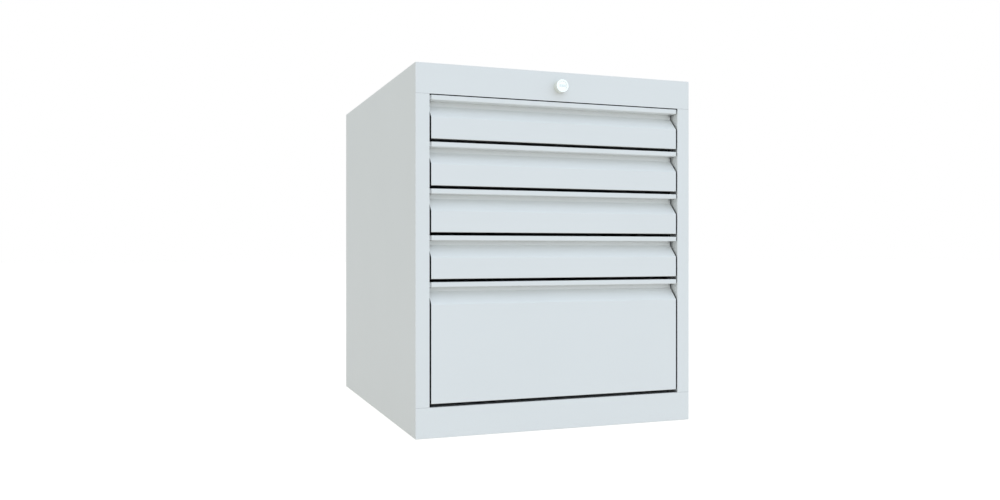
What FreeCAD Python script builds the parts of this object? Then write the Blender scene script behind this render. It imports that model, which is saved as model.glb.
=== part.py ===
import FreeCAD, Part
import math
import os
from types import SimpleNamespace
import Sketcher

# Microscope slide cabinet: a folded sheet steel casing with four shallow
# drawers over one deep drawer, on ball bearing runners, locked together by
# one upright bar behind the drawers.
#
# X is the width, -Y the front, +Z up. The origin is the middle of the
# casing's footprint, on the floor. Lengths are in millimetres.

# Driving dimensions

SIZES = {
    # Casing
    "cabinet_width": 500,
    "cabinet_depth": 600,
    "base_rail_height": 49,
    "foot_gap": 1,
    "top_rail_height": 49,
    "head_gap": 1,
    "deep_pitch": 200,
    "shallow_pitch": 75,
    "shallow_drawers": 4,
    "panel_sheet": 1,
    "stile_width": 23,
    "seam_gap": 0.2,
    "stile_return": 25,
    "flange_width": 20,
    "back_inset": 2,
    "upright_width": 30,
    "upright_sheet": 1.5,
    # Rivets of the back panel
    "rivet_shank_radius": 2,
    "rivet_head_radius": 4,
    "rivet_head_height": 1.2,
    "rivet_clearance": 0.1,
    "rivet_margin": 40,
    "side_rivets": 5,
    "edge_rivets": 3,
    # Drawer fronts
    "front_sheet": 1,
    "bend_radius": 0.2,
    "front_side_gap": 3,
    "front_head_gap": 0.6,
    "front_foot_gap": 4.5,
    "lip_height": 8,
    "grip_height": 7.5,
    "grip_depth": 20,
    # Drawer trays
    "tray_sheet": 0.8,
    "tray_back_gap": 49,
    "tray_floor_rise": 10,
    "tray_rim_drop": 1.7,
    "hem_height": 8,
    "lanes": 5,
    "divider_sheet": 0.8,
    "divider_height": 32,
    "divider_foot": 12,
    "divider_end_gap": 1,
    # Runners
    "rail_front_gap": 1,
    "rail_back_gap": 74,
    "rail_rise": 37.5,
    "rail_height": 45,
    "rail_thickness": 12.7,
    "rail_sheet": 1.2,
    "rail_tip_gap": 1.2,
    "rail_end_margin": 4,
    "running_gap": 0.3,
    "ball_diameter": 3,
    "cage_sheet": 0.6,
    "cage_end_gap": 130,
    "balls_in_row": 6,
    "hook_width": 4,
    "hook_height": 10,
    "hook_reach": 1.5,
    "hook_spread": 25,
    "hook_clearance": 0.3,
    # Lock
    "plug_radius": 7.5,
    "housing_wall": 1.95,
    "barrel_length": 25,
    "collar_overhang": 1.5,
    "collar_length": 12,
    "collar_chamfer": 0.5,
    "plug_inset": 0.4,
    "plug_tail": 3,
    "turning_clearance": 0.05,
    "key_slot_width": 9,
    "key_slot_height": 1.8,
    "key_slot_depth": 14,
    "key_mouth_side": 1,
    "key_mouth_rise": 0.7,
    "key_mouth_depth": 0.5,
    "nut_rim": 3,
    "nut_thickness": 4,
    "nut_clearance": 0.1,
    "shaft_radius": 3,
    "shaft_socket": 9,
    "bracket_sheet": 1.5,
    "bracket_width": 30,
    "bracket_foot": 22,
    "bracket_behind_tray": 4,
    # Crank, locking bar and guides
    "crank_bracket_gap": 2.5,
    "crank_throw": 10,
    "crank_plate": 3,
    "crank_hub_radius": 7,
    "crank_hub_length": 6,
    "crank_eye_radius": 5,
    "crank_pin_radius": 2.5,
    "crank_bar_gap": 3,
    "crank_pin_end": 2,
    "pin_slot_gap": 0.7,
    "bar_width": 24,
    "bar_sheet": 3,
    "bar_top_margin": 8,
    "bar_foot_margin": 10,
    "finger_width": 12,
    "finger_top_rise": 34,
    "finger_height": 14,
    "catch_sheet": 1.5,
    "catch_width": 16,
    "catch_bar_gap": 5,
    "catch_lip_height": 14,
    "catch_foot_height": 8,
    "catch_over_finger": 3,
    "catch_play": 0.5,
    "guide_sheet": 1.5,
    "guide_height": 20,
    "guide_below_slot": 15,
}

# Share of a sheet's thickness by which a 45 degree fold moves its inner corner
FOLD_SHARE = math.tan(math.radians(22.5))
# Share of a length across a 45 degree slope that shows along either axis
SLOPE_SHARE = math.sqrt(2)
# Crank angle below level at rest, and the same angle above level when locked
CRANK_ANGLE = 45
# How near an edge has to lie to a place to count as the edge there
SAME_PLACE = 0.001


class Length:
    """A length, as its number and as the sheet formula that gives it."""

    def __init__(self, number, formula):
        self.number = number
        self.formula = formula

    def __add__(self, other):
        other = as_length(other)
        return Length(self.number + other.number, f"({self.formula} + {other.formula})")

    def __sub__(self, other):
        other = as_length(other)
        return Length(self.number - other.number, f"({self.formula} - {other.formula})")

    def __mul__(self, other):
        other = as_length(other)
        return Length(self.number * other.number, f"({self.formula} * {other.formula})")

    def __truediv__(self, other):
        other = as_length(other)
        return Length(self.number / other.number, f"({self.formula} / {other.formula})")

    def __neg__(self):
        return Length(-self.number, f"(-({self.formula}))")

    __rmul__ = __mul__


def as_length(value):
    """Take a plain number as a length of that size."""
    if isinstance(value, Length):
        return value
    return Length(value, f"({value})")


doc = FreeCAD.newDocument("slide_cabinet")
sheet = doc.addObject("Spreadsheet::Sheet", "sizes")
for row, (alias, number) in enumerate(SIZES.items(), start=1):
    sheet.set(f"A{row}", alias)
    sheet.set(f"B{row}", str(number))
    sheet.setAlias(f"B{row}", alias)
doc.recompute()

S = SimpleNamespace(**{alias: Length(sheet.get(alias), f"sizes.{alias}") for alias in SIZES})
ZERO = as_length(0)
LEFT = -1
RIGHT = 1
SIDES = (LEFT, RIGHT)
LEVELS = (-1, 1)

# Drawing tools

ORIGIN_PLANES = {"x": "YZ_Plane", "y": "XZ_Plane", "z": "XY_Plane"}
SKETCH_ORIGIN = -1
START_POINT = 1
END_POINT = 2
CENTRE_POINT = 3

pieces = []


def component(name):
    """An empty body."""
    body = doc.addObject("PartDesign::Body", name)
    body.AllowCompound = True
    return body


def finished(shape, name):
    """Name an object as a sub-part."""
    shape.Label = name
    pieces.append(shape)
    return shape


def new_body(name):
    """An empty body that is one sub-part."""
    return finished(component(name), name)


def origin_feature(body, role):
    return next(feature for feature in body.Origin.OriginFeatures if feature.Role == role)


def hold(sketch, kind, geometry, point, length):
    """Hold a point of a sketch at a length from the sketch's origin."""
    constraint = Sketcher.Constraint(kind, SKETCH_ORIGIN, START_POINT, geometry, point, length.number)
    index = sketch.addConstraint(constraint)
    sketch.setExpression(f"Constraints[{index}]", length.formula)


def add_outline(sketch, corners):
    """A closed outline of straight lines."""
    first = sketch.GeometryCount
    count = len(corners)
    places = [FreeCAD.Vector(u.number, v.number, 0) for u, v in corners]
    for start, end in zip(places, places[1:] + places[:1]):
        sketch.addGeometry(Part.LineSegment(start, end), False)
    for index, (u, v) in enumerate(corners):
        line = first + index
        line_before = first + (index - 1) % count
        sketch.addConstraint(Sketcher.Constraint("Coincident", line_before, END_POINT, line, START_POINT))
        hold(sketch, "DistanceX", line, START_POINT, u)
        hold(sketch, "DistanceY", line, START_POINT, v)


def add_circle(sketch, u, v, radius):
    centre = FreeCAD.Vector(u.number, v.number, 0)
    circle = sketch.addGeometry(Part.Circle(centre, FreeCAD.Vector(0, 0, 1), radius.number), False)
    hold(sketch, "DistanceX", circle, CENTRE_POINT, u)
    hold(sketch, "DistanceY", circle, CENTRE_POINT, v)
    index = sketch.addConstraint(Sketcher.Constraint("Radius", circle, radius.number))
    sketch.setExpression(f"Constraints[{index}]", radius.formula)


def draw(body, axis, place, outlines=(), circles=()):
    """A sketch that lies across an axis, at a place on it."""
    sketch = body.newObject("Sketcher::SketchObject", f"{body.Name}_sketch")
    sketch.AttachmentSupport = (origin_feature(body, ORIGIN_PLANES[axis]), [""])
    sketch.MapMode = "FlatFace"
    # The plane across Y faces the front, so its offsets count the other way.
    offset = -place if axis == "y" else place
    sketch.setExpression("AttachmentOffset.Base.z", offset.formula)
    for corners in outlines:
        add_outline(sketch, corners)
    for circle in circles:
        add_circle(sketch, *circle)
    return sketch


def pad(body, axis, place, length, outlines=(), circles=()):
    """Add material from a place on an axis, for a length along it."""
    feature = body.newObject("PartDesign::Pad", f"{body.Name}_pad")
    feature.Profile = draw(body, axis, place, outlines, circles)
    feature.Reversed = axis == "y"
    feature.setExpression("Length", length.formula)
    body.Tip = feature
    return feature


def pocket(body, axis, place, length, outlines=(), circles=()):
    """Cut material from a place on an axis, for a length along it."""
    feature = body.newObject("PartDesign::Pocket", f"{body.Name}_pocket")
    feature.Profile = draw(body, axis, place, outlines, circles)
    feature.Reversed = axis != "y"
    feature.setExpression("Length", length.formula)
    body.Tip = feature
    return feature


def revolve(body, corners):
    """Turn an outline of (radius, place on Y) corners about the Y axis."""
    feature = body.newObject("PartDesign::Revolution", f"{body.Name}_turning")
    feature.Profile = draw(body, "z", ZERO, [corners])
    feature.ReferenceAxis = (origin_feature(body, "Y_Axis"), [""])
    body.Tip = feature
    return feature


def repeat(body, features, role, spacing, count):
    """Repeat features along an axis of their body."""
    pattern = body.newObject("PartDesign::LinearPattern", f"{body.Name}_pattern")
    pattern.Originals = features
    pattern.Direction = (origin_feature(body, role), [""])
    pattern.Mode = "Spacing"
    pattern.setExpression("Offset", spacing.formula)
    pattern.setExpression("Occurrences", count.formula)
    body.Tip = pattern
    return pattern


def round_bends(body, places, radius):
    """Round the edges along X that pass through some (y, z) places."""
    doc.recompute()
    base = body.Tip
    edges = []
    for number, edge in enumerate(base.Shape.Edges, start=1):
        for y, z in places:
            place = FreeCAD.Vector(0, y.number, z.number)
            if edge.CenterOfMass.distanceToPoint(place) < SAME_PLACE:
                edges.append(f"Edge{number}")
    fillet = body.newObject("PartDesign::Fillet", f"{body.Name}_bends")
    fillet.Base = (base, edges)
    fillet.setExpression("Radius", radius.formula)
    body.Tip = fillet


def rectangle(u_low, v_low, u_high, v_high):
    return [(u_low, v_low), (u_high, v_low), (u_high, v_high), (u_low, v_high)]


def slab(body, low, high):
    """Add a flat plate between two corners of a body."""
    outline = rectangle(low[0], low[1], high[0], high[1])
    return pad(body, "z", low[2], high[2] - low[2], [outline])


def hollow(body, low, high):
    """Cut a space between two corners of a body."""
    outline = rectangle(low[0], low[1], high[0], high[1])
    return pocket(body, "z", low[2], high[2] - low[2], [outline])


def move(shape, x=ZERO, y=ZERO, z=ZERO):
    for axis, length in zip("xyz", (x, y, z)):
        shape.setExpression(f"Placement.Base.{axis}", length.formula)
    return shape


def rod(name, radius, length, x, y, z):
    """A round rod that runs back along Y from a place."""
    cylinder = doc.addObject("Part::Cylinder", name)
    cylinder.Placement = FreeCAD.Placement(
        FreeCAD.Vector(0, 0, 0), FreeCAD.Rotation(FreeCAD.Vector(1, 0, 0), -90)
    )
    cylinder.setExpression("Radius", radius.formula)
    cylinder.setExpression("Height", length.formula)
    return move(cylinder, x, y, z)


def block(name, low, high):
    """A box between two corners."""
    box = doc.addObject("Part::Box", name)
    for size, start, end in zip(("Length", "Width", "Height"), low, high):
        box.setExpression(size, (end - start).formula)
    return move(box, *low)


def fuse(name, shapes):
    union = doc.addObject("Part::MultiFuse", name)
    union.Shapes = shapes
    union.Refine = True
    return union


def cut(name, base, tool):
    difference = doc.addObject("Part::Cut", name)
    difference.Base = base
    difference.Tool = tool
    difference.Refine = True
    return difference


# Places that the pieces share

half_width = S.cabinet_width / 2
front = -(S.cabinet_depth / 2)
back = S.cabinet_depth / 2
shallow_drawers = int(S.shallow_drawers.number)
deep_drawer = shallow_drawers + 1
drawers = range(1, deep_drawer + 1)

slots_foot = S.base_rail_height + S.foot_gap
slots_top = slots_foot + S.deep_pitch + S.shallow_drawers * S.shallow_pitch
opening_top = slots_top + S.head_gap
opening_half = half_width - S.stile_width
cabinet_height = opening_top + S.top_rail_height

skin = S.panel_sheet
behind_skin = front + skin
inner_half = half_width - skin
lid_underside = cabinet_height - skin
back_panel_front = back - S.back_inset - skin
rear_flange_front = back_panel_front - skin

rail_front = front + S.stile_return + S.rail_front_gap
rail_length = back - S.rail_back_gap - rail_front
tray_front = front + S.grip_depth + S.front_sheet
tray_back = back - S.tray_back_gap
tray_half = opening_half - S.rail_thickness

lock_height = opening_top + S.top_rail_height / 2
plug_bore = S.plug_radius + S.turning_clearance
barrel_radius = plug_bore + S.housing_wall

# Behind the trays, from the front: bracket, crank hub, crank plate, bar. The
# catches and the fingers stand between the trays and the bar.
bracket_front = tray_back + S.bracket_behind_tray
crank_hub_front = bracket_front + S.bracket_sheet + S.crank_bracket_gap
shaft_end = crank_hub_front + S.crank_hub_length
crank_front = shaft_end - S.crank_plate
bar_front = shaft_end + S.crank_bar_gap
bar_back = bar_front + S.bar_sheet
catch_rear = bar_front - S.catch_bar_gap
finger_back = catch_rear - S.catch_sheet - S.catch_play

# The pin swings between one throw and its share at the crank angle, left of
# the shaft, and the bar is centred on that.
pin_rest = S.crank_throw * math.cos(math.radians(CRANK_ANGLE))
bar_middle = -(S.crank_throw + pin_rest) / 2


def pitch(drawer):
    """Height of the slot that a drawer takes up."""
    return S.deep_pitch if drawer == deep_drawer else S.shallow_pitch


def slot_floor(drawer):
    """Height of the lower edge of a drawer's slot."""
    if drawer == deep_drawer:
        return slots_foot
    return slots_foot + S.deep_pitch + S.shallow_pitch * (shallow_drawers - drawer)


def tray_floor(drawer):
    return slot_floor(drawer) + S.tray_floor_rise


def front_head(drawer):
    """Height of the upper edge of a drawer's front."""
    return slot_floor(drawer) + pitch(drawer) - S.front_head_gap


def tray_rim(drawer):
    return front_head(drawer) - S.lip_height - S.tray_rim_drop


def rail_middle(drawer):
    return slot_floor(drawer) + S.rail_rise


def finger_top(drawer):
    """Height of a locking finger's tip at rest."""
    return slot_floor(drawer) + S.finger_top_rise


# Rivets of the back panel, as (x, z) places

rivet_low = skin + S.flange_width + S.rivet_margin
rivet_high = lid_underside - S.flange_width - S.rivet_margin
rivet_half = inner_half - S.flange_width - S.rivet_margin
side_rivet_line = inner_half - S.flange_width / 2
rivet_hole_radius = S.rivet_shank_radius + S.rivet_clearance


def spread(low, high, count):
    """Evenly spaced places from low to high."""
    steps = int(count.number)
    return [low + (high - low) * index / (count - 1) for index in range(steps)]


def side_rivet_places(side):
    return [(side * side_rivet_line, height) for height in spread(rivet_low, rivet_high, S.side_rivets)]


def edge_rivet_places(height):
    return [(x, height) for x in spread(-rivet_half, rivet_half, S.edge_rivets)]


top_rivet_height = lid_underside - S.flange_width / 2
base_rivet_height = skin + S.flange_width / 2
rivet_places = (
    side_rivet_places(LEFT)
    + side_rivet_places(RIGHT)
    + edge_rivet_places(top_rivet_height)
    + edge_rivet_places(base_rivet_height)
)


def drill_rivets(body, place, depth, places):
    """Cut rivet holes through a sheet that stands across Y."""
    circles = [(x, z, rivet_hole_radius) for x, z in places]
    pocket(body, "y", place, depth, circles=circles)


# Casing


def side_panel(name, side):
    """Web, front stile with its inner return, and flanges at rear, top and bottom."""
    body = new_body(name)
    outer = side * half_width
    inner = side * inner_half
    flange_edge = side * (inner_half - S.flange_width)
    reveal = side * opening_half
    reveal_outside = side * (opening_half + skin)
    flange_start = behind_skin + S.flange_width
    slab(body, (outer, behind_skin, ZERO), (inner, back, lid_underside))
    stile = [
        (outer, front),
        (reveal, front),
        (reveal, front + S.stile_return),
        (reveal_outside, front + S.stile_return),
        (reveal_outside, behind_skin),
        (outer, behind_skin),
    ]
    stile_foot = S.base_rail_height + S.seam_gap
    pad(body, "z", stile_foot, opening_top - S.seam_gap - stile_foot, [stile])
    for low in (skin, lid_underside - skin):
        slab(body, (inner, flange_start, low), (flange_edge, rear_flange_front, low + skin))
    slab(
        body,
        (inner, rear_flange_front, skin + S.flange_width),
        (flange_edge, back_panel_front, lid_underside - S.flange_width),
    )
    drill_rivets(body, rear_flange_front, skin, side_rivet_places(side))


def top_panel():
    body = new_body("top_panel")
    slab(body, (-half_width, behind_skin, lid_underside), (half_width, back, cabinet_height))
    slab(
        body,
        (-inner_half, rear_flange_front, lid_underside - S.flange_width),
        (inner_half, back_panel_front, lid_underside),
    )
    drill_rivets(body, rear_flange_front, skin, edge_rivet_places(top_rivet_height))


def bottom_panel():
    body = new_body("bottom_panel")
    slab(body, (-inner_half, behind_skin, ZERO), (inner_half, back, skin))
    slab(
        body,
        (-inner_half, rear_flange_front, skin),
        (inner_half, back_panel_front, skin + S.flange_width),
    )
    drill_rivets(body, rear_flange_front, skin, edge_rivet_places(base_rivet_height))


def back_panel():
    body = new_body("back_panel")
    slab(body, (-inner_half, back_panel_front, skin), (inner_half, back_panel_front + skin, lid_underside))
    drill_rivets(body, back_panel_front, skin, rivet_places)


def back_panel_rivets():
    """Blind rivets: a low head behind the panel, and a shank through both sheets."""
    shapes = []
    shank_front = rear_flange_front
    head_front = back_panel_front + skin
    for x, z in rivet_places:
        shapes.append(rod("rivet_shank", S.rivet_shank_radius, head_front - shank_front, x, shank_front, z))
        head = doc.addObject("Part::Cone", "rivet_head")
        head.Placement = FreeCAD.Placement(
            FreeCAD.Vector(0, 0, 0), FreeCAD.Rotation(FreeCAD.Vector(1, 0, 0), -90)
        )
        head.setExpression("Radius1", S.rivet_head_radius.formula)
        head.setExpression("Radius2", S.rivet_shank_radius.formula)
        head.setExpression("Height", S.rivet_head_height.formula)
        shapes.append(move(head, x, head_front, z))
    finished(fuse("rivets", shapes), "back_panel_rivets")


def front_rail(name, low, high):
    """A channel across the front: its face, and a flange along each long edge."""
    body = new_body(name)
    flange_end = behind_skin + S.flange_width
    slab(body, (-half_width, front, low), (half_width, behind_skin, high))
    return body, flange_end


def top_front_rail():
    body, flange_end = front_rail("top_front_rail", opening_top, cabinet_height)
    for low in (opening_top, lid_underside - skin):
        slab(body, (-inner_half, behind_skin, low), (inner_half, flange_end, low + skin))
    hole_radius = barrel_radius + S.nut_clearance
    pocket(body, "y", front, skin, circles=[(ZERO, lock_height, hole_radius)])


def bottom_front_rail():
    body, flange_end = front_rail("bottom_front_rail", ZERO, S.base_rail_height)
    for low in (skin, S.base_rail_height - skin):
        slab(body, (-inner_half, behind_skin, low), (inner_half, flange_end, low + skin))


def upright(name, side, near):
    """A channel that stands beside the drawers and carries the cabinet rails' hooks."""
    body = new_body(name)
    far = near + S.upright_width
    wall = S.upright_sheet
    outside = side * inner_half
    face = side * opening_half
    face_back = side * (opening_half + wall)
    channel = [
        (outside, near),
        (face, near),
        (face, far),
        (outside, far),
        (outside, far - wall),
        (face_back, far - wall),
        (face_back, near + wall),
        (outside, near + wall),
    ]
    pad(body, "z", skin * 2, lid_underside - skin * 3, [channel])
    slots = []
    half_slot = S.hook_width / 2 + S.hook_clearance
    half_slot_height = S.hook_height / 2 + S.hook_clearance
    middle = near + S.upright_width / 2
    for height in hook_heights():
        low = height - half_slot_height
        high = height + half_slot_height
        slots.append(rectangle(middle - half_slot, low, middle + half_slot, high))
    start = opening_half if side == RIGHT else -(opening_half + wall)
    pocket(body, "x", start, wall, slots)


def hook_heights():
    return [rail_middle(drawer) + S.hook_spread / 2 * level for drawer in drawers for level in LEVELS]


front_upright_near = rail_front + S.rail_end_margin
rear_upright_near = rail_front + rail_length - S.upright_width


# Runners, from the upright inwards: cabinet rail, ball cage, middle rail,
# ball cage, drawer rail. Offsets count inwards from the upright's face.

outer_cage_offset = S.rail_sheet + S.running_gap
middle_offset = outer_cage_offset + S.cage_sheet + S.running_gap
inner_cage_offset = middle_offset + S.rail_sheet + S.running_gap
drawer_rail_tip = inner_cage_offset + S.cage_sheet + S.running_gap
rail_tip = S.rail_thickness - S.rail_tip_gap

outer_race = S.rail_height / 2 - S.rail_sheet
middle_half_height = outer_race - S.ball_diameter
inner_race = middle_half_height - S.rail_sheet
drawer_rail_half_height = inner_race - S.ball_diameter
cage_row_drop = S.ball_diameter / 2
ball_radius = S.ball_diameter / 2 - S.running_gap
cage_length = rail_length - S.cage_end_gap * 2
ball_pitch = cage_length / S.balls_in_row


def channel_outline(side, web, tip, wall, half_height, middle):
    """A channel on its side: its web at one offset, its two flanges out to another."""
    web_x = side * (opening_half - web)
    tip_x = side * (opening_half - tip)
    inward = wall if tip.number > web.number else -wall
    web_inside = side * (opening_half - web - inward)
    return [
        (web_x, middle + half_height),
        (tip_x, middle + half_height),
        (tip_x, middle + half_height - wall),
        (web_inside, middle + half_height - wall),
        (web_inside, middle - half_height + wall),
        (tip_x, middle - half_height + wall),
        (tip_x, middle - half_height),
        (web_x, middle - half_height),
    ]


def rail_pair(name, drawer, web, tip, wall, half_height, start=rail_front, length=rail_length):
    """The left and right member of one runner layer."""
    body = new_body(name)
    outlines = [
        channel_outline(side, web, tip, wall, half_height, rail_middle(drawer)) for side in SIDES
    ]
    pad(body, "y", start, length, outlines)
    return body


def ball_cages(name, drawer, web, tip, race):
    """A pair of cages, each with a row of balls above and below, half way across the race's gap."""
    row = race - cage_row_drop
    start = rail_front + S.cage_end_gap
    half_height = row + S.cage_sheet / 2
    body = rail_pair(name, drawer, web, tip, S.cage_sheet, half_height, start, cage_length)
    row_offset = (web + S.cage_sheet + tip) / 2
    balls = []
    for side in SIDES:
        for level in LEVELS:
            ball = body.newObject("PartDesign::AdditiveSphere", f"{name}_ball")
            ball.setExpression("Radius", ball_radius.formula)
            move(
                ball,
                side * (opening_half - row_offset),
                start + ball_pitch / 2,
                rail_middle(drawer) + row * level,
            )
            balls.append(ball)
    repeat(body, balls, "Y_Axis", ball_pitch, S.balls_in_row)


def cabinet_rails(drawer):
    body = rail_pair(
        f"drawer_{drawer}_cabinet_rails", drawer, ZERO, rail_tip, S.rail_sheet, S.rail_height / 2
    )
    reach = S.upright_sheet + S.hook_reach
    for side in SIDES:
        start = opening_half if side == RIGHT else -(opening_half + reach)
        hooks = []
        for near in (front_upright_near, rear_upright_near):
            low_y = near + S.upright_width / 2 - S.hook_width / 2
            for level in LEVELS:
                low_z = rail_middle(drawer) + S.hook_spread / 2 * level - S.hook_height / 2
                hooks.append(rectangle(low_y, low_z, low_y + S.hook_width, low_z + S.hook_height))
        pad(body, "x", start, reach, hooks)


def runners(drawer):
    cabinet_rails(drawer)
    outer_tip = rail_tip - S.rail_tip_gap
    ball_cages(f"drawer_{drawer}_outer_ball_cages", drawer, outer_cage_offset, outer_tip, outer_race)
    rail_pair(
        f"drawer_{drawer}_middle_rails", drawer, middle_offset, rail_tip, S.rail_sheet, middle_half_height
    )
    inner_tip = rail_tip - S.running_gap
    ball_cages(f"drawer_{drawer}_inner_ball_cages", drawer, inner_cage_offset, inner_tip, inner_race)
    rail_pair(
        f"drawer_{drawer}_drawer_rails",
        drawer,
        S.rail_thickness,
        drawer_rail_tip,
        S.rail_sheet,
        drawer_rail_half_height,
    )


# Drawers


def drawer_front(drawer):
    """Folded sheet: lip, recess, 45 degree slope, flat face, foot flange and closed ends."""
    body = new_body(f"drawer_{drawer}_front")
    wall = S.front_sheet
    half = opening_half - S.front_side_gap
    rear = front + S.grip_depth
    head = front_head(drawer)
    foot = slot_floor(drawer) + S.front_foot_gap
    lip_foot = head - S.lip_height
    slope_head = lip_foot - S.grip_height
    slope_foot = slope_head - S.grip_depth
    fold = wall * FOLD_SHARE
    profile = [
        (rear + wall, head),
        (front, head),
        (front, lip_foot),
        (rear, lip_foot),
        (rear, slope_head),
        (front, slope_foot),
        (front, foot),
        (rear, foot),
        (rear, foot + wall),
        (front + wall, foot + wall),
        (front + wall, slope_foot - fold),
        (rear + wall, slope_head - fold),
        (rear + wall, lip_foot + wall),
        (front + wall, lip_foot + wall),
        (front + wall, head - wall),
        (rear + wall, head - wall),
    ]
    pad(body, "x", -half, half * 2, [profile])
    inner_bends = [
        (front + wall, head - wall),
        (front + wall, lip_foot + wall),
        (rear, lip_foot),
        (rear, slope_head),
        (front + wall, slope_foot - fold),
        (front + wall, foot + wall),
    ]
    outer_bends = [
        (front, head),
        (front, lip_foot),
        (rear + wall, lip_foot + wall),
        (rear + wall, slope_head - fold),
        (front, slope_foot),
        (front, foot),
    ]
    round_bends(body, inner_bends, S.bend_radius)
    round_bends(body, outer_bends, S.bend_radius + wall)
    face_end = [
        (front + wall, foot + wall),
        (rear, foot + wall),
        (rear, slope_head - wall * SLOPE_SHARE),
        (front + wall, slope_foot - fold),
    ]
    lip_end = [
        (front + wall, lip_foot + wall),
        (rear + wall, lip_foot + wall),
        (rear + wall, head - wall),
        (front + wall, head - wall),
    ]
    for start in (-half, half - wall):
        pad(body, "x", start, wall, [face_end])
        pad(body, "x", start, wall, [lip_end])


def tray_catch(drawer):
    """Locking catch: a foot on the tray's back, a plate, and a lip that hangs from it."""
    body = component(f"drawer_{drawer}_catch")
    wall = S.catch_sheet
    lip_foot = finger_top(drawer) + S.catch_over_finger
    plate = lip_foot + S.catch_lip_height
    outline = [
        (tray_back, plate),
        (catch_rear - wall, plate),
        (catch_rear - wall, lip_foot),
        (catch_rear, lip_foot),
        (catch_rear, plate + wall),
        (tray_back + wall, plate + wall),
        (tray_back + wall, plate + S.catch_foot_height),
        (tray_back, plate + S.catch_foot_height),
    ]
    pad(body, "x", bar_middle - S.catch_width / 2, S.catch_width, [outline])
    return body


def drawer_tray(drawer):
    """An open box with a thicker hem inside its rim, and the catch welded to its back."""
    body = component(f"drawer_{drawer}_box")
    wall = S.tray_sheet
    floor = tray_floor(drawer)
    rim = tray_rim(drawer)
    hem_foot = rim - S.hem_height
    slab(body, (-tray_half, tray_front, floor), (tray_half, tray_back, rim))
    hollow(
        body,
        (-(tray_half - wall), tray_front + wall, floor + wall),
        (tray_half - wall, tray_back - wall, hem_foot),
    )
    hollow(
        body,
        (-(tray_half - wall * 2), tray_front + wall * 2, hem_foot),
        (tray_half - wall * 2, tray_back - wall * 2, rim),
    )
    tray = doc.addObject("Part::Compound", f"drawer_{drawer}_box_and_catch")
    tray.Links = [body, tray_catch(drawer)]
    finished(tray, f"drawer_{drawer}_tray")


def drawer_dividers(drawer):
    """Angle strips from front to back that part a shallow drawer into lanes."""
    body = new_body(f"drawer_{drawer}_dividers")
    wall = S.divider_sheet
    floor = tray_floor(drawer) + S.tray_sheet
    inner = (tray_half - S.tray_sheet) * 2
    lane_pitch = (inner + wall) / S.lanes
    first = -(inner / 2) + lane_pitch - wall
    start = tray_front + S.tray_sheet * 2 + S.divider_end_gap
    end = tray_back - S.tray_sheet * 2 - S.divider_end_gap
    angle = [
        (first, floor),
        (first + S.divider_foot, floor),
        (first + S.divider_foot, floor + wall),
        (first + wall, floor + wall),
        (first + wall, floor + S.divider_height),
        (first, floor + S.divider_height),
    ]
    strip = pad(body, "y", start, end - start, [angle])
    repeat(body, [strip], "X_Axis", lane_pitch, S.lanes - 1)


# Lock and central locking


def lock_housing():
    """Round collar in front of the rail, barrel through it."""
    body = new_body("lock_housing")
    collar_radius = barrel_radius + S.collar_overhang
    nose = front - S.collar_length
    revolve(
        body,
        [
            (plug_bore, nose),
            (collar_radius - S.collar_chamfer, nose),
            (collar_radius, nose + S.collar_chamfer),
            (collar_radius, front),
            (barrel_radius, front),
            (barrel_radius, front + S.barrel_length),
            (plug_bore, front + S.barrel_length),
        ],
    )
    move(body, z=lock_height)


def lock_nut():
    """Hexagonal nut that clamps the housing to the rail's sheet."""
    prism = doc.addObject("Part::Prism", "nut_blank")
    prism.Polygon = 6
    prism.Placement = FreeCAD.Placement(
        FreeCAD.Vector(0, 0, 0), FreeCAD.Rotation(FreeCAD.Vector(1, 0, 0), -90)
    )
    flat_radius = barrel_radius + S.nut_rim
    prism.setExpression("Circumradius", (flat_radius / math.cos(math.radians(30))).formula)
    prism.setExpression("Height", S.nut_thickness.formula)
    move(prism, y=behind_skin, z=lock_height)
    bore_radius = barrel_radius + S.nut_clearance
    bore = rod("nut_bore", bore_radius, S.nut_thickness, ZERO, behind_skin, lock_height)
    finished(cut("nut", prism, bore), "lock_nut")


plug_nose = front - S.collar_length + S.plug_inset
plug_end = front + S.barrel_length + S.plug_tail
shaft_front = plug_end - S.shaft_socket


def lock_plug():
    """Turning plug with a plain key slot in its face and a socket for the shaft behind."""
    body = new_body("lock_plug")
    pad(body, "y", plug_nose, plug_end - plug_nose, circles=[(ZERO, ZERO, S.plug_radius)])
    half_slot = S.key_slot_width / 2
    half_slot_height = S.key_slot_height / 2
    half_mouth = half_slot + S.key_mouth_side
    half_mouth_height = half_slot_height + S.key_mouth_rise
    mouth = rectangle(-half_mouth, -half_mouth_height, half_mouth, half_mouth_height)
    pocket(body, "y", plug_nose, S.key_mouth_depth, [mouth])
    slot = rectangle(-half_slot, -half_slot_height, half_slot, half_slot_height)
    pocket(body, "y", plug_nose, S.key_slot_depth, [slot])
    socket_radius = S.shaft_radius + S.turning_clearance
    pocket(body, "y", shaft_front, S.shaft_socket, circles=[(ZERO, ZERO, socket_radius)])
    move(body, z=lock_height)


def lock_shaft():
    """Rod from the plug, over the top drawer, to the crank."""
    shaft = rod("shaft", S.shaft_radius, shaft_end - shaft_front, ZERO, shaft_front, lock_height)
    finished(shaft, "lock_shaft")


def shaft_bracket():
    """Angle under the lid that carries the shaft's rear end."""
    half = S.bracket_width / 2
    wall = S.bracket_sheet
    far = bracket_front + wall
    foot_end = bracket_front - S.bracket_foot
    plate = block("bracket_plate", (-half, bracket_front, lock_height - half), (half, far, lid_underside))
    foot_low = lid_underside - wall
    foot = block("bracket_foot", (-half, foot_end, foot_low), (half, bracket_front, lid_underside))
    hole = rod("bracket_hole", S.shaft_radius + S.turning_clearance, wall, ZERO, bracket_front, lock_height)
    finished(cut("bracket", fuse("bracket_angle", [plate, foot]), hole), "shaft_bracket")


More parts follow.
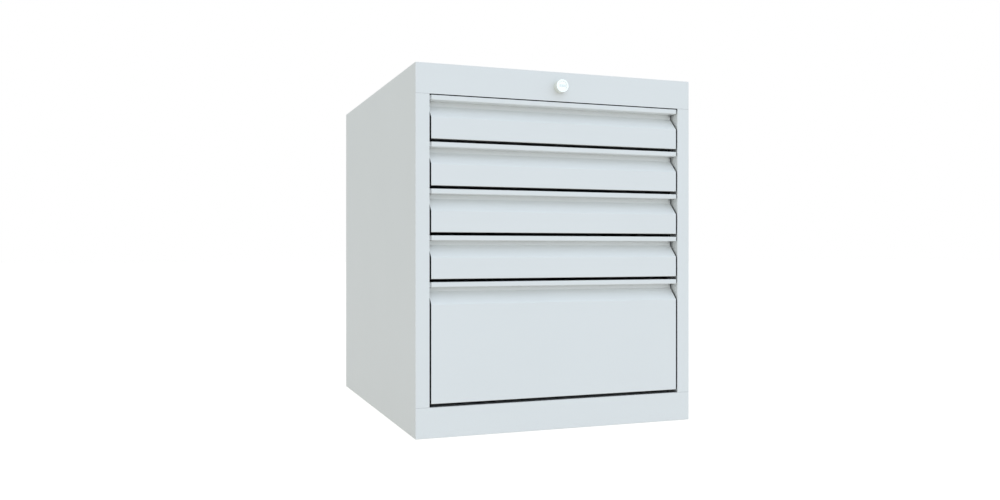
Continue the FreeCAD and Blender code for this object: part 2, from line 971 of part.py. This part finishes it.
def lock_crank():
    """Crank on the shaft's end; its pin reaches back through the bar's slot."""
    body = new_body("lock_crank")
    pin_length = S.crank_bar_gap + S.bar_sheet + S.crank_pin_end
    pad(body, "y", crank_hub_front, S.crank_hub_length, circles=[(ZERO, ZERO, S.crank_hub_radius)])
    arm = rectangle(-S.crank_throw, -S.crank_eye_radius, ZERO, S.crank_eye_radius)
    pad(body, "y", crank_front, S.crank_plate, [arm])
    pad(body, "y", crank_front, S.crank_plate, circles=[(-S.crank_throw, ZERO, S.crank_eye_radius)])
    pad(body, "y", shaft_end, pin_length, circles=[(-S.crank_throw, ZERO, S.crank_pin_radius)])
    bore = S.shaft_radius + S.turning_clearance
    pocket(body, "y", crank_hub_front, S.crank_hub_length, circles=[(ZERO, ZERO, bore)])
    body.Placement = FreeCAD.Placement(
        FreeCAD.Vector(0, 0, 0), FreeCAD.Rotation(FreeCAD.Vector(0, 1, 0), -CRANK_ANGLE)
    )
    move(body, z=lock_height)


bar_half = S.bar_width / 2
pin_rest_height = lock_height - pin_rest
slot_half_height = S.crank_pin_radius + S.pin_slot_gap
bar_foot = finger_top(deep_drawer) - S.finger_height - S.bar_sheet - S.bar_foot_margin
bar_head = pin_rest_height + slot_half_height + S.bar_top_margin


def locking_bar():
    """Upright flat bar with a slot for the crank's pin at its head."""
    body = new_body("locking_bar")
    slab(
        body,
        (bar_middle - bar_half, bar_front, bar_foot),
        (bar_middle + bar_half, bar_back, bar_head),
    )
    slot = rectangle(
        -(S.crank_throw + slot_half_height),
        pin_rest_height - slot_half_height,
        -(pin_rest - slot_half_height),
        pin_rest_height + slot_half_height,
    )
    pocket(body, "y", bar_front, S.bar_sheet, [slot])


def locking_fingers():
    """An upturned finger for each drawer, welded to the bar's face."""
    body = new_body("locking_fingers")
    finger_front = finger_back - S.bar_sheet
    outlines = []
    for drawer in drawers:
        tip = finger_top(drawer)
        root = tip - S.finger_height
        outlines.append(
            [
                (finger_front, root - S.bar_sheet),
                (bar_front, root - S.bar_sheet),
                (bar_front, root),
                (finger_back, root),
                (finger_back, tip),
                (finger_front, tip),
            ]
        )
    pad(body, "x", bar_middle - S.finger_width / 2, S.finger_width, outlines)


def bar_guides():
    """Two straps from the back panel that hold the bar and let it slide upright."""
    body = new_body("bar_guides")
    wall = S.guide_sheet
    gap = S.running_gap
    bar_left = bar_middle - bar_half - gap
    bar_right = bar_middle + bar_half + gap
    strap_front = bar_front - gap - wall
    for drawer in (2, deep_drawer - 1):
        low = slot_floor(drawer) - S.guide_below_slot
        high = low + S.guide_height
        slab(body, (bar_left - wall, strap_front, low), (bar_left, back_panel_front, high))
        slab(body, (bar_right, strap_front, low), (bar_right + wall, back_panel_front, high))
        slab(body, (bar_left, strap_front, low), (bar_right, strap_front + wall, high))
        slab(body, (bar_left, bar_back + gap, low), (bar_right, bar_back + gap + wall, high))


# Build

side_panel("left_side_panel", LEFT)
side_panel("right_side_panel", RIGHT)
top_panel()
bottom_panel()
back_panel()
back_panel_rivets()
top_front_rail()
bottom_front_rail()
upright("front_left_upright", LEFT, front_upright_near)
upright("front_right_upright", RIGHT, front_upright_near)
upright("rear_left_upright", LEFT, rear_upright_near)
upright("rear_right_upright", RIGHT, rear_upright_near)
for number in drawers:
    drawer_front(number)
    drawer_tray(number)
    if number != deep_drawer:
        drawer_dividers(number)
    runners(number)
lock_housing()
lock_nut()
lock_plug()
lock_shaft()
shaft_bracket()
lock_crank()
locking_bar()
locking_fingers()
bar_guides()
doc.recompute()

# Check every object, then write each sub-part

for thing in doc.Objects:
    if "Invalid" in thing.State or "Error" in thing.State:
        raise RuntimeError(f"{thing.Name} failed: {thing.State}")
    if thing.TypeId == "PartDesign::Pocket":
        if not thing.Shape.Volume < thing.BaseFeature.Shape.Volume:
            raise RuntimeError(f"{thing.Name} cuts nothing")
for piece in pieces:
    if piece.Shape.isNull() or not piece.Shape.isValid():
        raise RuntimeError(f"{piece.Label} has no valid shape")

os.makedirs("parts", exist_ok=True)
for piece in pieces:
    piece.Shape.exportStep(f"parts/{piece.Label}.step")
print(f"{len(pieces)} sub-parts, {sum(len(piece.Shape.Solids) for piece in pieces)} solids")
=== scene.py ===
import math

import bmesh
import bpy
from mathutils import Matrix, Vector


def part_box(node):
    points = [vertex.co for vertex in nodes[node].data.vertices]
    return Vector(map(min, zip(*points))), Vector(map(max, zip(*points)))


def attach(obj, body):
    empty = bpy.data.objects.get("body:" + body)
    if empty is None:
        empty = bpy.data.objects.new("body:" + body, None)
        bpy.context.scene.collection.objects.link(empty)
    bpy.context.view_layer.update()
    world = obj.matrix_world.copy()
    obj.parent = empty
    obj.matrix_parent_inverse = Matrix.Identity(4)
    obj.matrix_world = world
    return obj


# Microscope slide cabinet in light grey powder coat. Metres, +Z up, -Y the front.

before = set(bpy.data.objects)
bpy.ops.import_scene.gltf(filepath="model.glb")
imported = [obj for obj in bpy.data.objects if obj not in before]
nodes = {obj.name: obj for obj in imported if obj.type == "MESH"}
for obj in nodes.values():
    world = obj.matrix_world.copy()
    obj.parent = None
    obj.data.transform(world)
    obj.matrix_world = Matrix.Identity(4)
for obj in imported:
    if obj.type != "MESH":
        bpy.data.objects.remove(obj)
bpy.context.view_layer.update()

MM = 0.001
UNIT = (0.0, 1.0)
DRAWERS = (1, 2, 3, 4, 5)


def add_object(name, data):
    obj = bpy.data.objects.new(name, data)
    bpy.context.scene.collection.objects.link(obj)
    return obj


# Camera, from a perspective fit of the photograph: level, in front and to the left

CAMERA_PLACE = (-0.6161, -1.6901, 0.3010)
CAMERA_YAW = math.radians(20.108)
CAMERA_LENS = 32.457
CAMERA_SENSOR = 36


def make_camera():
    data = bpy.data.cameras.new("camera")
    data.sensor_fit = "HORIZONTAL"
    data.sensor_width = CAMERA_SENSOR
    data.lens = CAMERA_LENS
    camera = add_object("camera", data)
    camera.location = CAMERA_PLACE
    camera.rotation_euler = (math.pi / 2, 0, -CAMERA_YAW)
    bpy.context.scene.camera = camera


# Studio: a floor that stays white, an even surround, and a very broad cool key from the front right

SURROUND = (0.651, 0.686, 0.687)
KEY_COLOUR = (0.632, 0.772, 1.0)
KEY_STRENGTH = 1.88
KEY_SPREAD = math.radians(150)
KEY_DIRECTION = (0.60, -0.74, 0.30)
FLOOR_HALF = 20
FLOOR_DROP = 0.4 * MM
FLOOR_GLOW = (0.55, 0.92)
FLOOR_GLOW_COLOUR = (1.0, 1.0, 0.98, 1)
FLOOR_COLOUR = (0.2, 0.2, 0.2, 1)


def make_world():
    """Pure white behind the object, and the surround's colour for its light."""
    world = bpy.data.worlds.new("studio")
    bpy.context.scene.world = world
    world.use_nodes = True
    tree = world.node_tree
    tree.nodes.clear()
    seen = tree.nodes.new("ShaderNodeBackground")
    seen.inputs["Color"].default_value = (1, 1, 1, 1)
    lit = tree.nodes.new("ShaderNodeBackground")
    lit.inputs["Color"].default_value = (*SURROUND, 1)
    path = tree.nodes.new("ShaderNodeLightPath")
    mix = tree.nodes.new("ShaderNodeMixShader")
    output = tree.nodes.new("ShaderNodeOutputWorld")
    tree.links.new(path.outputs["Is Camera Ray"], mix.inputs["Fac"])
    tree.links.new(lit.outputs["Background"], mix.inputs[1])
    tree.links.new(seen.outputs["Background"], mix.inputs[2])
    tree.links.new(mix.outputs["Shader"], output.inputs["Surface"])


def make_key_light():
    data = bpy.data.lights.new("key", "SUN")
    data.angle = KEY_SPREAD
    data.energy = KEY_STRENGTH
    data.color = KEY_COLOUR
    light = add_object("key", data)
    light.location = KEY_DIRECTION
    light.rotation_mode = "QUATERNION"
    light.rotation_quaternion = Vector(KEY_DIRECTION).to_track_quat("Z", "Y")


def make_floor():
    """A pale floor, with less glow in the light that it throws than in what is seen of it."""
    mesh = bpy.data.meshes.new("floor")
    around = ((-1, -1), (1, -1), (1, 1), (-1, 1))
    corners = [(x * FLOOR_HALF, y * FLOOR_HALF, -FLOOR_DROP) for x, y in around]
    mesh.from_pydata(corners, [], [(0, 1, 2, 3)])
    floor = add_object("floor", mesh)
    material, tree, shader = new_material("floor", metallic=0.0)
    shader.inputs["Base Color"].default_value = FLOOR_COLOUR
    shader.inputs["Roughness"].default_value = 1
    shader.inputs["Specular IOR Level"].default_value = 0
    shader.inputs["Emission Color"].default_value = FLOOR_GLOW_COLOUR
    path = tree.nodes.new("ShaderNodeLightPath")
    glow = remap(tree, path.outputs["Is Camera Ray"], FLOOR_GLOW, UNIT)
    tree.links.new(glow, shader.inputs["Emission Strength"])
    mesh.materials.append(material)


# Shader parts. Scales are in features per metre, and most of a noise lies in NOISE_SPAN.

NOISE_SPAN = (0.3, 0.7)


def new_material(name, metallic):
    material = bpy.data.materials.new(name)
    material.use_nodes = True
    tree = material.node_tree
    shader = tree.nodes["Principled BSDF"]
    shader.inputs["Metallic"].default_value = metallic
    return material, tree, shader


def coordinates(tree, stretch=(1, 1, 1), shift=(0, 0, 0)):
    """Object coordinates, scaled and then moved."""
    source = tree.nodes.new("ShaderNodeTexCoord")
    mapping = tree.nodes.new("ShaderNodeMapping")
    mapping.inputs["Location"].default_value = shift
    mapping.inputs["Scale"].default_value = stretch
    tree.links.new(source.outputs["Object"], mapping.inputs["Vector"])
    return mapping.outputs["Vector"]


def noise(tree, vector, scale, detail):
    texture = tree.nodes.new("ShaderNodeTexNoise")
    texture.inputs["Scale"].default_value = scale
    texture.inputs["Detail"].default_value = detail
    tree.links.new(vector, texture.inputs["Vector"])
    return texture.outputs["Fac"]


def remap(tree, value, target, source=NOISE_SPAN):
    """A value that runs over the target span while another runs over the source span."""
    node = tree.nodes.new("ShaderNodeMapRange")
    node.inputs["From Min"].default_value, node.inputs["From Max"].default_value = source
    node.inputs["To Min"].default_value, node.inputs["To Max"].default_value = target
    tree.links.new(value, node.inputs["Value"])
    return node.outputs["Result"]


def mix_colours(tree, factor, colours):
    low, high = colours
    node = tree.nodes.new("ShaderNodeMix")
    node.data_type = "RGBA"
    node.inputs["A"].default_value = (*low, 1)
    node.inputs["B"].default_value = (*high, 1)
    tree.links.new(factor, node.inputs["Factor"])
    return node.outputs["Result"]


def bump(tree, shader, height, depth, strength):
    node = tree.nodes.new("ShaderNodeBump")
    node.inputs["Distance"].default_value = depth
    node.inputs["Strength"].default_value = strength
    tree.links.new(height, node.inputs["Height"])
    tree.links.new(node.outputs["Normal"], shader.inputs["Normal"])


# Painted shade in narrow gaps: how far their walls count, and the openness from black to the plain
# finish

COAT_CREVICE_SHADE_REACH = 10 * MM
METAL_CREVICE_SHADE_REACH = 3 * MM
CREVICE_SHADE_OPENNESS = (0.30, 0.50)
CREVICE_SHADE_SAMPLES = 8


def paint_crevice_shade(tree, shader, colour, roughness, reach):
    """Painted shade, colour falling away to black deep in a narrow gap; gloss goes dull there too."""
    openness = tree.nodes.new("ShaderNodeAmbientOcclusion")
    openness.samples = CREVICE_SHADE_SAMPLES
    openness.inputs["Distance"].default_value = reach
    # painted shade: 0 where a gap is shut, 1 where it is open
    shade = remap(tree, openness.outputs["AO"], UNIT, CREVICE_SHADE_OPENNESS)
    blend = tree.nodes.new("ShaderNodeMix")
    blend.data_type = "RGBA"
    blend.blend_type = "MULTIPLY"
    blend.inputs["Factor"].default_value = 1
    tree.links.new(colour, blend.inputs["A"])
    tree.links.new(shade, blend.inputs["B"])
    tree.links.new(blend.outputs["Result"], shader.inputs["Base Color"])
    dull = tree.nodes.new("ShaderNodeMix")
    dull.inputs["A"].default_value = 1
    tree.links.new(shade, dull.inputs["Factor"])
    tree.links.new(roughness, dull.inputs["B"])
    tree.links.new(dull.outputs["Result"], shader.inputs["Roughness"])


# Finishes: for each its tones, roughness, textures and bump

COAT_TONES = ((0.794, 0.804, 0.784), (0.806, 0.816, 0.796))
COAT_ROUGHNESS = (0.40, 0.50)
COAT_CLOUDS = {"scale": 5.0, "detail": 3.0}
COAT_GRAIN = {"scale": 2600.0, "detail": 1.0}
COAT_PEEL = {"scale": 520.0, "detail": 2.0}
COAT_BUMP = {"depth": 0.05 * MM, "strength": 0.8}


def powder_coat():
    """Light grey satin powder coat: orange peel, fine grain, a trace of tone."""
    material, tree, shader = new_material("light_grey_powder_coat", metallic=0.0)
    place = coordinates(tree)
    colour = mix_colours(tree, remap(tree, noise(tree, place, **COAT_CLOUDS), UNIT), COAT_TONES)
    roughness = remap(tree, noise(tree, place, **COAT_GRAIN), COAT_ROUGHNESS)
    # painted shade: the coat's colour darkens to black deep in narrow gaps
    paint_crevice_shade(tree, shader, colour, roughness, COAT_CREVICE_SHADE_REACH)
    bump(tree, shader, noise(tree, place, **COAT_PEEL), **COAT_BUMP)
    return material


ZINC_TONES = ((0.60, 0.62, 0.645), (0.70, 0.72, 0.735))
ZINC_ROUGHNESS = (0.26, 0.40)
ZINC_CLOUDS = {"scale": 30.0, "detail": 3.0}
ZINC_LINES = {"scale": 1800.0, "detail": 2.0}
ZINC_LINE_STRETCH = (1, 0.02, 1)
ZINC_BUMP = {"depth": 0.02 * MM, "strength": 0.4}


def zinc_plate():
    """Bright zinc on the runners: faint drawing lines along the steel, cloudy tone."""
    material, tree, shader = new_material("bright_zinc_plate", metallic=1.0)
    clouds = noise(tree, coordinates(tree), **ZINC_CLOUDS)
    lines = noise(tree, coordinates(tree, stretch=ZINC_LINE_STRETCH), **ZINC_LINES)
    colour = mix_colours(tree, remap(tree, clouds, UNIT), ZINC_TONES)
    # painted shade: the zinc's colour darkens to black deep in narrow gaps
    paint_crevice_shade(tree, shader, colour, remap(tree, lines, ZINC_ROUGHNESS), METAL_CREVICE_SHADE_REACH)
    bump(tree, shader, lines, **ZINC_BUMP)
    return material


SHEET_TONES = ((0.50, 0.52, 0.535), (0.64, 0.66, 0.675))
SHEET_ROUGHNESS = (0.34, 0.50)
SPANGLE_SCALE = 140.0
SPANGLE_SPAN = (0.1, 0.9)
SHEET_GRAIN = {"scale": 900.0, "detail": 2.0}
SHEET_BUMP = {"depth": 0.02 * MM, "strength": 0.5}


def galvanised_sheet():
    """Galvanised sheet: zinc spangle, each grain with its own tone and gloss."""
    material, tree, shader = new_material("galvanised_sheet", metallic=1.0)
    place = coordinates(tree)
    cells = tree.nodes.new("ShaderNodeTexVoronoi")
    cells.inputs["Scale"].default_value = SPANGLE_SCALE
    tree.links.new(place, cells.inputs["Vector"])
    grey = tree.nodes.new("ShaderNodeRGBToBW")
    tree.links.new(cells.outputs["Color"], grey.inputs["Color"])
    colour = mix_colours(tree, remap(tree, grey.outputs["Val"], UNIT, SPANGLE_SPAN), SHEET_TONES)
    roughness = remap(tree, grey.outputs["Val"], SHEET_ROUGHNESS, SPANGLE_SPAN)
    # painted shade: the sheet's colour darkens to black deep in narrow gaps
    paint_crevice_shade(tree, shader, colour, roughness, METAL_CREVICE_SHADE_REACH)
    bump(tree, shader, noise(tree, place, **SHEET_GRAIN), **SHEET_BUMP)
    return material


NICKEL_TONES = ((0.935, 0.94, 0.865), (0.96, 0.96, 0.885))
NICKEL_ROUGHNESS = (0.16, 0.24)
NICKEL_SMUDGE = {"scale": 260.0, "detail": 3.0}
NICKEL_RINGS = {"Scale": 900.0, "Distortion": 1.0, "Detail": 1.0}
NICKEL_BUMP = {"depth": 0.004 * MM, "strength": 0.35}


def turned_nickel(axis_height):
    """Nickel plate over turned metal: fine rings about the lock's axis."""
    material, tree, shader = new_material("turned_nickel", metallic=1.0)
    place = coordinates(tree, shift=(0, 0, -axis_height))
    rings = tree.nodes.new("ShaderNodeTexWave")
    rings.wave_type = "RINGS"
    rings.rings_direction = "Y"
    for setting, value in NICKEL_RINGS.items():
        rings.inputs[setting].default_value = value
    tree.links.new(place, rings.inputs["Vector"])
    smudge = noise(tree, place, **NICKEL_SMUDGE)
    colour = mix_colours(tree, remap(tree, smudge, UNIT), NICKEL_TONES)
    tree.links.new(colour, shader.inputs["Base Color"])
    tree.links.new(remap(tree, smudge, NICKEL_ROUGHNESS), shader.inputs["Roughness"])
    bump(tree, shader, rings.outputs["Color"], **NICKEL_BUMP)
    return material


SHUTTER_TONES = ((0.79, 0.83, 0.78), (0.84, 0.87, 0.82))
SHUTTER_ROUGHNESS = (0.22, 0.32)
SHUTTER_BRUSHING = {"scale": 6000.0, "detail": 2.0}
SHUTTER_BRUSHING_STRETCH = (0.05, 1, 1)
SHUTTER_BUMP = {"depth": 0.004 * MM, "strength": 0.4}


def shutter_steel():
    """Fine brushed steel of the key slot's dust shutter, a shade below the nickel."""
    material, tree, shader = new_material("shutter_steel", metallic=1.0)
    place = coordinates(tree, stretch=SHUTTER_BRUSHING_STRETCH)
    brushed = noise(tree, place, **SHUTTER_BRUSHING)
    colour = mix_colours(tree, remap(tree, brushed, UNIT), SHUTTER_TONES)
    tree.links.new(colour, shader.inputs["Base Color"])
    tree.links.new(remap(tree, brushed, SHUTTER_ROUGHNESS), shader.inputs["Roughness"])
    bump(tree, shader, brushed, **SHUTTER_BUMP)
    return material


RIVET_TONES = ((0.68, 0.69, 0.70), (0.78, 0.79, 0.80))
RIVET_ROUGHNESS = (0.30, 0.42)
RIVET_CLOUDS = {"scale": 400.0, "detail": 3.0}
RIVET_GLOSS = {"scale": 3000.0, "detail": 1.0}
RIVET_GRAIN = {"scale": 1500.0, "detail": 2.0}
RIVET_BUMP = {"depth": 0.01 * MM, "strength": 0.4}


def rivet_aluminium():
    """Plain aluminium rivets with a light tumbling grain."""
    material, tree, shader = new_material("rivet_aluminium", metallic=1.0)
    place = coordinates(tree)
    colour = mix_colours(tree, remap(tree, noise(tree, place, **RIVET_CLOUDS), UNIT), RIVET_TONES)
    roughness = remap(tree, noise(tree, place, **RIVET_GLOSS), RIVET_ROUGHNESS)
    tree.links.new(colour, shader.inputs["Base Color"])
    tree.links.new(roughness, shader.inputs["Roughness"])
    bump(tree, shader, noise(tree, place, **RIVET_GRAIN), **RIVET_BUMP)
    return material


# Finish and edges of the carried-over nodes

FINISH_ENDINGS = {
    "galvanised": ("upright", "bar_guides", "shaft_bracket", "lock_nut"),
    "plated": ("rails", "cages", "locking_bar", "locking_fingers", "lock_shaft", "lock_crank"),
    "nickel": ("lock_housing", "lock_plug"),
    "rivet": ("rivets",),
}
LEFT_SHARP = ("cages", "rivets")
EDGE_RADIUS = 0.2 * MM
LOCK_EDGE_RADIUS = 0.25 * MM
EDGE_SEGMENTS = 2
EDGE_ANGLE = math.radians(50)
WELD_DISTANCE = 0.001 * MM
FLAT_ANGLE = math.radians(0.5)
FLAT_FACE_WEIGHT = 60


def smooth_shading():
    """A node group that shades every face smooth."""
    group = bpy.data.node_groups.new("smooth_shading", "GeometryNodeTree")
    group.interface.new_socket("Geometry", in_out="INPUT", socket_type="NodeSocketGeometry")
    group.interface.new_socket("Geometry", in_out="OUTPUT", socket_type="NodeSocketGeometry")
    start = group.nodes.new("NodeGroupInput")
    smooth = group.nodes.new("GeometryNodeSetShadeSmooth")
    end = group.nodes.new("NodeGroupOutput")
    group.links.new(start.outputs["Geometry"], smooth.inputs["Geometry"])
    group.links.new(smooth.outputs["Geometry"], end.inputs["Geometry"])
    return group


def soften_edges(piece, radius, shading):
    """Close the split vertices, clear flat faces of seams, and round the edges."""
    weld = piece.modifiers.new("weld", "WELD")
    weld.merge_threshold = WELD_DISTANCE
    flat = piece.modifiers.new("flat", "DECIMATE")
    flat.decimate_type = "DISSOLVE"
    flat.angle_limit = FLAT_ANGLE
    bevel = piece.modifiers.new("edges", "BEVEL")
    bevel.width = radius
    bevel.segments = EDGE_SEGMENTS
    bevel.limit_method = "ANGLE"
    bevel.angle_limit = EDGE_ANGLE
    smooth = piece.modifiers.new("smooth", "NODES")
    smooth.node_group = shading
    normals = piece.modifiers.new("normals", "WEIGHTED_NORMAL")
    normals.weight = FLAT_FACE_WEIGHT


def finish_of(name):
    """The finish of a node, from how its name ends. The rest are coated."""
    for finish, endings in FINISH_ENDINGS.items():
        if name.endswith(endings):
            return finish
    return "coat"


def dress_nodes(materials):
    shading = smooth_shading()
    for name, node in nodes.items():
        finish = finish_of(name)
        node.material_slots[0].material = materials[finish]
        if not name.endswith(LEFT_SHARP):
            radius = LOCK_EDGE_RADIUS if finish == "nickel" else EDGE_RADIUS
            soften_edges(node, radius, shading)


# Pieces that only the looks need

ROUND_PROFILE = 0.5


def link_piece(name, mesh_builder, material, body):
    mesh = bpy.data.meshes.new(name)
    mesh_builder.to_mesh(mesh)
    mesh_builder.free()
    piece = add_object(name, mesh)
    mesh.materials.append(material)
    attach(piece, body)


def add_block(builder, size, middle):
    corners = bmesh.ops.create_cube(builder, size=1)["verts"]
    bmesh.ops.scale(builder, vec=size, verts=corners)
    bmesh.ops.translate(builder, vec=middle, verts=corners)


def round_blocks(builder, radius):
    """Rounded edges on all blocks of a piece."""
    edges = builder.edges[:]
    bmesh.ops.bevel(
        builder, geom=edges, offset=radius, segments=EDGE_SEGMENTS, affect="EDGES", profile=ROUND_PROFILE
    )


SHUTTER_GAP = 0.12 * MM
SHUTTER_INSET = 0.15 * MM
KEY_SLOT_WIDTH = 11 * MM
KEY_SLOT_HEIGHT = 3.2 * MM
SHUTTER_THICKNESS = 0.3 * MM
SHUTTER_EDGE = 0.08 * MM


def lock_shutter(material):
    """Dust shutter that closes the key slot, just under the plug's face."""
    low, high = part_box("lock_plug")
    middle = (low + high) / 2
    width = KEY_SLOT_WIDTH - SHUTTER_GAP * 2
    height = KEY_SLOT_HEIGHT - SHUTTER_GAP * 2
    depth = low.y + SHUTTER_INSET + SHUTTER_THICKNESS / 2
    builder = bmesh.new()
    add_block(builder, (width, SHUTTER_THICKNESS, height), (middle.x, depth, middle.z))
    round_blocks(builder, SHUTTER_EDGE)
    link_piece("lock_shutter", builder, material, "lock_cylinder")


LIP_HEIGHT = 8 * MM
LIP_CAP_THICKNESS = 2.4 * MM
LIP_CAP_INSET = 1.9 * MM
LIP_CAP_DEPTH = 12 * MM
LIP_CAP_MARGIN = 0.3 * MM
LIP_CAP_EDGE = 0.3 * MM


def lip_caps(drawer, material):
    """Caps on both ends of a front's lip, set back a little from its face."""
    low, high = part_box(f"drawer_{drawer}_front")
    size = (LIP_CAP_THICKNESS, LIP_CAP_DEPTH, LIP_HEIGHT - LIP_CAP_MARGIN * 2)
    builder = bmesh.new()
    for x in (low.x - LIP_CAP_THICKNESS / 2, high.x + LIP_CAP_THICKNESS / 2):
        add_block(builder, size, (x, low.y + LIP_CAP_INSET + LIP_CAP_DEPTH / 2, high.z - LIP_HEIGHT / 2))
    round_blocks(builder, LIP_CAP_EDGE)
    link_piece(f"drawer_{drawer}_lip_caps", builder, material, f"drawer_{drawer}")


RIVET_HEAD = ((0.0, 1.5), (1.4, 1.35), (2.6, 0.85), (3.2, 0.25), (3.2, 0.0))
RIVET_SIDES = 28
RIVETS_PER_SIDE = 4
RIVET_MARGIN = 30 * MM
TRAY_SHEET = 0.8 * MM


def round_head(builder, place, towards):
    """A rivet's round head on a wall, from its (radius, height) points in millimetres."""
    turn = Vector((0, 0, 1)).rotation_difference(Vector(towards)).to_matrix().to_4x4()
    rings = []
    for radius, height in RIVET_HEAD:
        count = 1 if radius == 0 else RIVET_SIDES
        ring = []
        for index in range(count):
            angle = 2 * math.pi * index / count
            point = Vector((radius * math.cos(angle), radius * math.sin(angle), height)) * MM
            ring.append(builder.verts.new(Matrix.Translation(place) @ turn @ point))
        rings.append(ring)
    for upper, lower in zip(rings, rings[1:]):
        for index in range(RIVET_SIDES):
            after = (index + 1) % RIVET_SIDES
            if len(upper) == 1:
                face = builder.faces.new((upper[0], lower[index], lower[after]))
            else:
                face = builder.faces.new((upper[index], lower[index], lower[after], upper[after]))
            face.smooth = True
    builder.faces.new(reversed(rings[-1]))


def rail_rivets(drawer, material):
    """Rivet heads inside the tray, where the drawer rails are fixed to its sides."""
    rail_low, rail_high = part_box(f"drawer_{drawer}_drawer_rails")
    tray_low, tray_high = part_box(f"drawer_{drawer}_tray")
    height = (rail_low.z + rail_high.z) / 2
    first = rail_low.y + RIVET_MARGIN
    spacing = (rail_high.y - rail_low.y - RIVET_MARGIN * 2) / (RIVETS_PER_SIDE - 1)
    builder = bmesh.new()
    for index in range(RIVETS_PER_SIDE):
        y = first + spacing * index
        for x, inward in ((tray_low.x + TRAY_SHEET, 1), (tray_high.x - TRAY_SHEET, -1)):
            round_head(builder, Vector((x, y, height)), (inward, 0, 0))
    link_piece(f"drawer_{drawer}_rail_rivets", builder, material, f"drawer_{drawer}")


# Build

make_camera()
make_world()
make_key_light()
make_floor()
bpy.context.scene.view_settings.view_transform = "Standard"

lock_low, lock_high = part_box("lock_plug")
finishes = {
    "coat": powder_coat(),
    "plated": zinc_plate(),
    "galvanised": galvanised_sheet(),
    "nickel": turned_nickel((lock_low.z + lock_high.z) / 2),
    "rivet": rivet_aluminium(),
}
dress_nodes(finishes)
lock_shutter(shutter_steel())
for number in DRAWERS:
    lip_caps(number, finishes["coat"])
    rail_rivets(number, finishes["rivet"])
